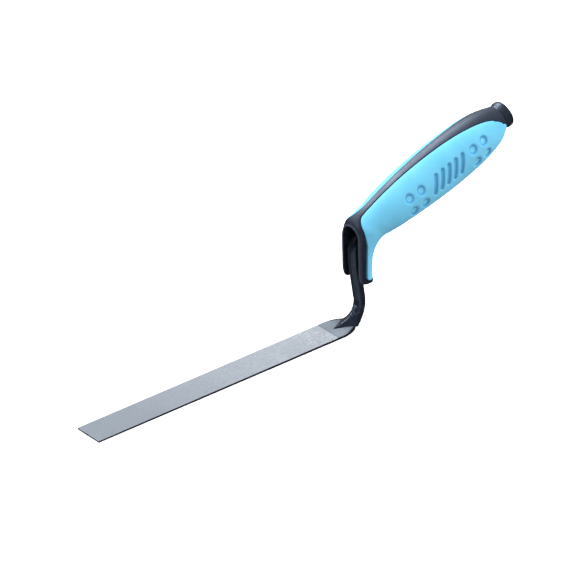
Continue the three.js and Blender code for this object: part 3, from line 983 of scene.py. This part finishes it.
class Finish(Nodes):
    """A material, with short calls for what only materials use."""

    def __init__(self, name):
        self.material = bpy.data.materials.new(name)
        self.material.use_nodes = True
        super().__init__(self.material.node_tree, "Object")
        self.shader = self.tree.nodes["Principled BSDF"]

    def set(self, **inputs):
        for name, value in inputs.items():
            self.link(value, self.shader.inputs[name.replace("_", " ")])

    def clouded(self, pattern, colours):
        """Two colours mixed in the clouds of a noise."""
        return self.mix(self.ramp(pattern, 0.3, 0.7), *colours)

    def tinted(self, base, mask, share, colour):
        """The base, taken up to share of the way to a colour where the mask is high."""
        return self.mix(self.times(mask, share), base, colour)

    def worn(self, base, share, colour):
        """The base, tinted on its sharp outer edges."""
        geometry = self.tree.nodes.new("ShaderNodeNewGeometry")
        return self.tinted(base, self.ramp(geometry.outputs["Pointiness"], 0.53, 0.62), share, colour)

    def stretched(self, x, y, z):
        made = self.tree.nodes.new("ShaderNodeMapping")
        self.link(self.place, made.inputs["Vector"])
        made.inputs["Scale"].default_value = (x, y, z)
        return made.outputs[0]

    def noise(self, size_mm, detail=2.0, vector=None):
        made = self.tree.nodes.new("ShaderNodeTexNoise")
        self.link(vector or self.place, made.inputs["Vector"])
        made.inputs["Scale"].default_value = 1 / (size_mm * MM)
        made.inputs["Detail"].default_value = detail
        return made.outputs[0]

    def cells(self, size_mm):
        made = self.tree.nodes.new("ShaderNodeTexVoronoi")
        self.link(self.place, made.inputs["Vector"])
        made.inputs["Scale"].default_value = 1 / (size_mm * MM)
        return made.outputs["Distance"]

    def attribute(self, name):
        made = self.tree.nodes.new("ShaderNodeAttribute")
        made.attribute_name = name
        return made.outputs["Fac"]

    def facing_up(self):
        geometry = self.tree.nodes.new("ShaderNodeNewGeometry")
        made = self.tree.nodes.new("ShaderNodeSeparateXYZ")
        self.link(geometry.outputs["True Normal"], made.inputs[0])
        return made.outputs["Z"]

    def bump(self, *layers):
        """Stacks (height, millimetres) layers of bump on the shader."""
        normal = None
        for height, depth in layers:
            made = self.tree.nodes.new("ShaderNodeBump")
            made.inputs["Distance"].default_value = depth * MM
            self.link(height, made.inputs["Height"])
            if normal:
                self.link(normal, made.inputs["Normal"])
            normal = made.outputs[0]
        self.link(normal, self.shader.inputs["Normal"])


# ------------ finishes

def ground_face(f, x, grain, speckle):
    """Finely ground steel, lighter towards the heel as a painted reflection, with bright flecks just
    in front of it.
    """
    # Painted reflection: the face grows lighter towards the heel.
    face = f.mix(f.zone(x, -BLADE_LENGTH, -5), TIP_STEEL, ROOT_STEEL_REFLECTION)
    face = f.mix(f.ramp(grain, 0.35, 0.7, 0.0, 0.3), face, GRIND_MARK)
    face = f.mix(f.ramp(speckle, 0.55, 0.75, 0.0, 0.2), face, BRIGHT_SPECKLE)
    near_heel = f.times(f.zone(x, -26, -9), f.zone(x, -0.6, -2.5))
    flecks = f.times(f.ramp(f.noise(0.75, 1), 0.56, 0.66), near_heel)
    return f.tinted(face, flecks, 0.7, BRIGHT_FLECK)


def heel_face(f, x, grain, clouds):
    """Duller steel, darker towards its back, with painted shade along its rounded rim."""
    face = f.clouded(clouds, HEEL_STEEL)
    face = f.mix(f.ramp(grain, 0.35, 0.7, 0.0, 0.35), face, HEEL_MARK)
    face = f.mix(f.zone(x, 5, 14, 0.0, 0.7), face, HEEL_BACK)
    out_x = f.times(f.math("SUBTRACT", x, HEEL_STRAIGHT * MM), 1 / (HEEL_ROUND * MM))
    out_y = f.times(f.axis("Y"), 2 / (BLADE_WIDTH * MM))
    out = f.math("ADD", f.math("POWER", out_x, 2.0), f.math("POWER", out_y, 2.0))
    # Painted shade: a dark band along the rounded rim, near its back.
    rim = f.times(f.ramp(out, 0.74, 0.88), f.zone(x, 4, 9))
    return f.mix(rim, face, HEEL_RIM_SHADE)


def blade_steel():
    """A ground face and a dull heel with a dark line between them, and painted shade on the side
    faces, near black and hardly metallic.
    """
    f = Finish("blade_steel")
    x = f.axis("X")
    grain = f.noise(0.9, 3, f.stretched(0.35, 1.2, 1))
    speckle = f.noise(0.45, 2)
    clouds = f.noise(14, 3)
    at_heel = f.zone(x, -0.15, 0.15)
    face = f.mix(at_heel, ground_face(f, x, grain, speckle), heel_face(f, x, grain, clouds))
    line = f.times(f.zone(x, -0.9, -0.1), f.zone(x, 0.7, 0.1))
    face = f.tinted(face, line, 0.6, GROUND_LINE)
    # Painted shade: the side faces are coloured near black and made hardly metallic.
    side_shade = f.mix(f.noise(1.5, 3), *SIDE_FACE_SHADE)
    up = f.facing_up()
    is_side = f.times(f.ramp(up, 0.98, 0.8), f.ramp(up, -0.75, -0.45))
    f.set(
        Base_Color=f.mix(is_side, face, side_shade),
        Metallic=f.math("SUBTRACT", 1.0, f.times(is_side, 0.9)),
        Roughness=f.ramp(clouds, 0.3, 0.7, 0.40, 0.43),
        Specular_IOR_Level=0.15,
    )
    f.bump((grain, 0.004), (speckle, 0.003))
    return f.material


def shank_paint():
    """Satin black paint over forged steel, with a few thin spots along its edges, and painted shade,
    near black and barely glossy, where it rises into the channel.
    """
    f = Finish("shank_paint")
    z = f.axis("Z")
    orange_peel = f.noise(0.7, 2)
    base = f.worn(f.clouded(f.noise(4, 4), SHANK_BLACK), 0.25, BLACK_WEAR)
    # Painted shade: near black, with little gloss (set below), where the shank rises into the
    # channel.
    base = f.mix(f.zone(z, 38, 46), base, SHANK_SHADE_IN_CHANNEL)
    f.set(
        Base_Color=base,
        Roughness=f.zone(z, 10, 17, 0.22, 0.38),
        Specular_IOR_Level=f.zone(z, 38, 46, 0.42, 0.05),
        Specular_Tint=BLUE_SHEEN,
    )
    creases = f.noise(1.1, 2, f.stretched(0.8, 0.8, 1.6))
    at_bend = f.times(creases, f.zone(z, 18, 11))
    f.bump((orange_peel, 0.03), (f.noise(2.6, 2), 0.05), (at_bend, 0.22))
    return f.material


def bead_mask(f, x):
    """High on the bead round the channel's mouth, which gets a painted highlight."""
    above = f.math("MAXIMUM", f.math("SUBTRACT", f.axis("Z"), CHANNEL_SPRING * MM), 0.0)
    beside = f.math("ADD", f.math("POWER", above, 2.0), f.math("POWER", f.axis("Y"), 2.0))
    beside = f.math("SUBTRACT", f.math("SQRT", beside), CHANNEL_HALF_WIDTH * MM)
    bead = f.times(f.zone(beside, 0.1, 0.4), f.zone(beside, 1.4, 0.8))
    return f.times(bead, f.zone(x, 19, 17))


def core_plastic():
    """Hard black moulding with a fine spark-eroded grain, shinier behind the nose."""
    f = Finish("core_plastic")
    x = f.axis("X")
    grain = f.noise(0.32, 3)
    blotch = f.noise(9, 3)
    base = f.clouded(blotch, CORE_BLACK)
    base = f.mix(f.ramp(grain, 0.55, 0.75, 0.0, 0.3), base, CORE_GRAIN)
    base = f.worn(base, 0.2, CORE_WEAR)
    f.set(
        # Painted highlight: the bead round the channel's mouth is coloured grey.
        Base_Color=f.tinted(base, bead_mask(f, x), 0.8, BEAD_HIGHLIGHT),
        Roughness=f.ramp(blotch, 0.3, 0.7, 0.44, 0.52),
        Specular_IOR_Level=f.zone(x, 16, 28, 0.36, 1.0),
        Specular_Tint=BLUE_SHEEN,
    )
    f.bump((grain, 0.035), (f.cells(0.9), 0.012))
    return f.material


def grip_rubber():
    """Soft light blue rubber with a satin skin, painted shade on the walls of the dimples and slots,
    and painted light on the dimples' floors.
    """
    f = Finish("grip_rubber")
    grain = f.noise(0.28, 3)
    mottle = f.noise(1.6, 3)
    base = f.clouded(f.noise(12, 4), GRIP_BLUE)
    base = f.mix(f.ramp(mottle, 0.4, 0.7, 0.0, 0.12), base, GRIP_MOTTLE)
    base = f.worn(base, 0.2, GRIP_WEAR)
    depth = f.attribute(RECESS)
    # Painted shade on the walls of the dimples and slots, and painted light on the dimples' floors.
    wall = f.times(f.ramp(depth, 0.12, 0.4), f.ramp(depth, 0.93, 0.78))
    base = f.tinted(base, wall, 0.66, RECESS_WALL_SHADE)
    base = f.mix(f.ramp(depth, 0.88, 0.94, 0.0, 0.5), base, RECESS_FLOOR_LIGHT)
    f.set(
        Base_Color=base,
        Roughness=f.ramp(mottle, 0.3, 0.7, 0.5, 0.6),
        Specular_IOR_Level=0.45,
        Sheen_Weight=0.08,
        Sheen_Roughness=0.5,
    )
    f.bump((grain, 0.02), (mottle, 0.02))
    return f.material


def cap_plastic():
    """Satin black moulding, smoother than the core."""
    f = Finish("cap_plastic")
    grain = f.noise(0.4, 2)
    blotch = f.noise(5, 3)
    f.set(
        Base_Color=f.worn(f.clouded(blotch, CAP_BLACK), 0.2, BLACK_WEAR),
        Roughness=f.ramp(blotch, 0.3, 0.7, 0.38, 0.46),
        Specular_IOR_Level=0.9,
        Specular_Tint=BLUE_SHEEN,
    )
    f.bump((grain, 0.02), (f.noise(1.8, 2), 0.02))
    return f.material


def tang_adhesive():
    """Cured amber adhesive, with small bubbles."""
    f = Finish("tang_adhesive")
    clouds = f.noise(3, 3)
    f.set(Base_Color=f.clouded(clouds, ADHESIVE), Roughness=f.ramp(clouds, 0.3, 0.7, 0.35, 0.6))
    f.bump((f.cells(0.8), 0.05), (f.noise(0.4), 0.02))
    return f.material


def paint(piece, material):
    """Makes this the piece's only material."""
    piece.data.materials.clear()
    piece.data.materials.append(material)


def dress(piece, material, node):
    """Gives a new piece its finish, and has it stand for its CAD node."""
    paint(piece, material)
    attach(piece, "root")
    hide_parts(node)


# ------------ studio

def floor_material():
    f = Finish("studio_floor")
    f.set(
        Base_Color=f.clouded(f.noise(400, 2), FLOOR_WHITE),
        Roughness=0.9,
        Specular_IOR_Level=0.1,
        Emission_Color=(1.0, 1.0, 1.0),
        Emission_Strength=FLOOR_GLOW,
    )
    return f.material


def make_floor():
    """A plain square floor that neither lights the object nor shows in its reflections."""
    low, _ = CAD_BOX
    level = low.z - FLOOR_GAP * MM
    mesh = bpy.data.meshes.new("studio_floor")
    signs = [(-1, -1), (1, -1), (1, 1), (-1, 1)]
    corners = [(x * FLOOR_REACH, y * FLOOR_REACH, level) for x, y in signs]
    mesh.from_pydata(corners, [], [(0, 1, 2, 3)])
    made = bpy.data.objects.new("studio_floor", mesh)
    bpy.context.scene.collection.objects.link(made)
    paint(made, floor_material())
    made.visible_diffuse = False
    made.visible_glossy = False


def make_world():
    """An even pale light on matt surfaces, and a room brighter above than below in reflections."""
    world = bpy.data.worlds.new("studio")
    world.use_nodes = True
    n = Nodes(world.node_tree, "Generated")
    room = n.ramp(n.axis("Z"), *WORLD_CLIMB, WORLD_BELOW, WORLD_ABOVE)
    patch = n.math("POWER", n.math("MAXIMUM", n.towards(TABLE_PLACE), 0.0), TABLE_SPREAD)
    strength = n.math("ADD", n.times(patch, TABLE_GLOW), room)
    ray = n.tree.nodes.new("ShaderNodeLightPath")
    for kind, amount in (("Is Diffuse Ray", WORLD_FILL), ("Is Camera Ray", 1.0)):
        strength = n.blend(ray.outputs[kind], strength, amount)
    background = n.tree.nodes["Background"]
    background.inputs["Color"].default_value = (*WORLD_COLOUR, 1)
    n.link(strength, background.inputs["Strength"])
    bpy.context.scene.world = world


def towards_viewer(azimuth, elevation):
    """Unit vector from the object to a viewer at these angles, in radians."""
    level = math.cos(elevation)
    return Vector((math.sin(azimuth) * level, -math.cos(azimuth) * level, math.sin(elevation)))


def softbox(name, target, azimuth, elevation, distance, width, height, power, mirrored):
    """A large area light turned to the target; mirrored says whether reflections show it."""
    back = towards_viewer(math.radians(azimuth), math.radians(elevation))
    data = bpy.data.lights.new(name, "AREA")
    data.shape = "RECTANGLE"
    data.size, data.size_y = width, height
    data.energy = power
    made = bpy.data.objects.new(name, data)
    made.location = target + back * distance
    made.rotation_mode = "QUATERNION"
    made.rotation_quaternion = back.to_track_quat("Z", "Y")
    made.visible_glossy = mirrored
    bpy.context.scene.collection.objects.link(made)


def make_lights():
    low, high = CAD_BOX
    middle = (low + high) / 2
    for name, settings in LIGHTS.items():
        softbox(name, middle, *settings)


def make_camera():
    right = Vector((math.cos(CAMERA_AZIMUTH), math.sin(CAMERA_AZIMUTH), 0))
    back = towards_viewer(CAMERA_AZIMUTH, CAMERA_ELEVATION)
    up = back.cross(right)
    data = bpy.data.cameras.new("camera")
    data.sensor_width = CAMERA_SENSOR
    data.lens = CAMERA_LENS
    data.clip_end = CAMERA_REACH
    made = bpy.data.objects.new("camera", data)
    turn = Matrix((right, up, back)).transposed().to_4x4()
    place = (Vector(CAMERA_AIM) + back * CAMERA_DISTANCE) * MM
    made.matrix_world = Matrix.Translation(place) @ turn
    bpy.context.scene.collection.objects.link(made)
    bpy.context.scene.camera = made


# ------------ build

skin_points, skin_faces = handle_surface()
dress(blade(), blade_steel(), "blade")
dress(shank(), shank_paint(), "shank")
dress(handle_core(skin_points, skin_faces), core_plastic(), "handle_core")
dress(grip_sleeve(skin_points, skin_faces), grip_rubber(), "grip_sleeve")
dress(butt_cap(), cap_plastic(), "butt_cap")
paint(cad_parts["tang_bond"], tang_adhesive())

make_floor()
make_world()
make_lights()
make_camera()
bpy.context.scene.view_settings.view_transform = "Standard"
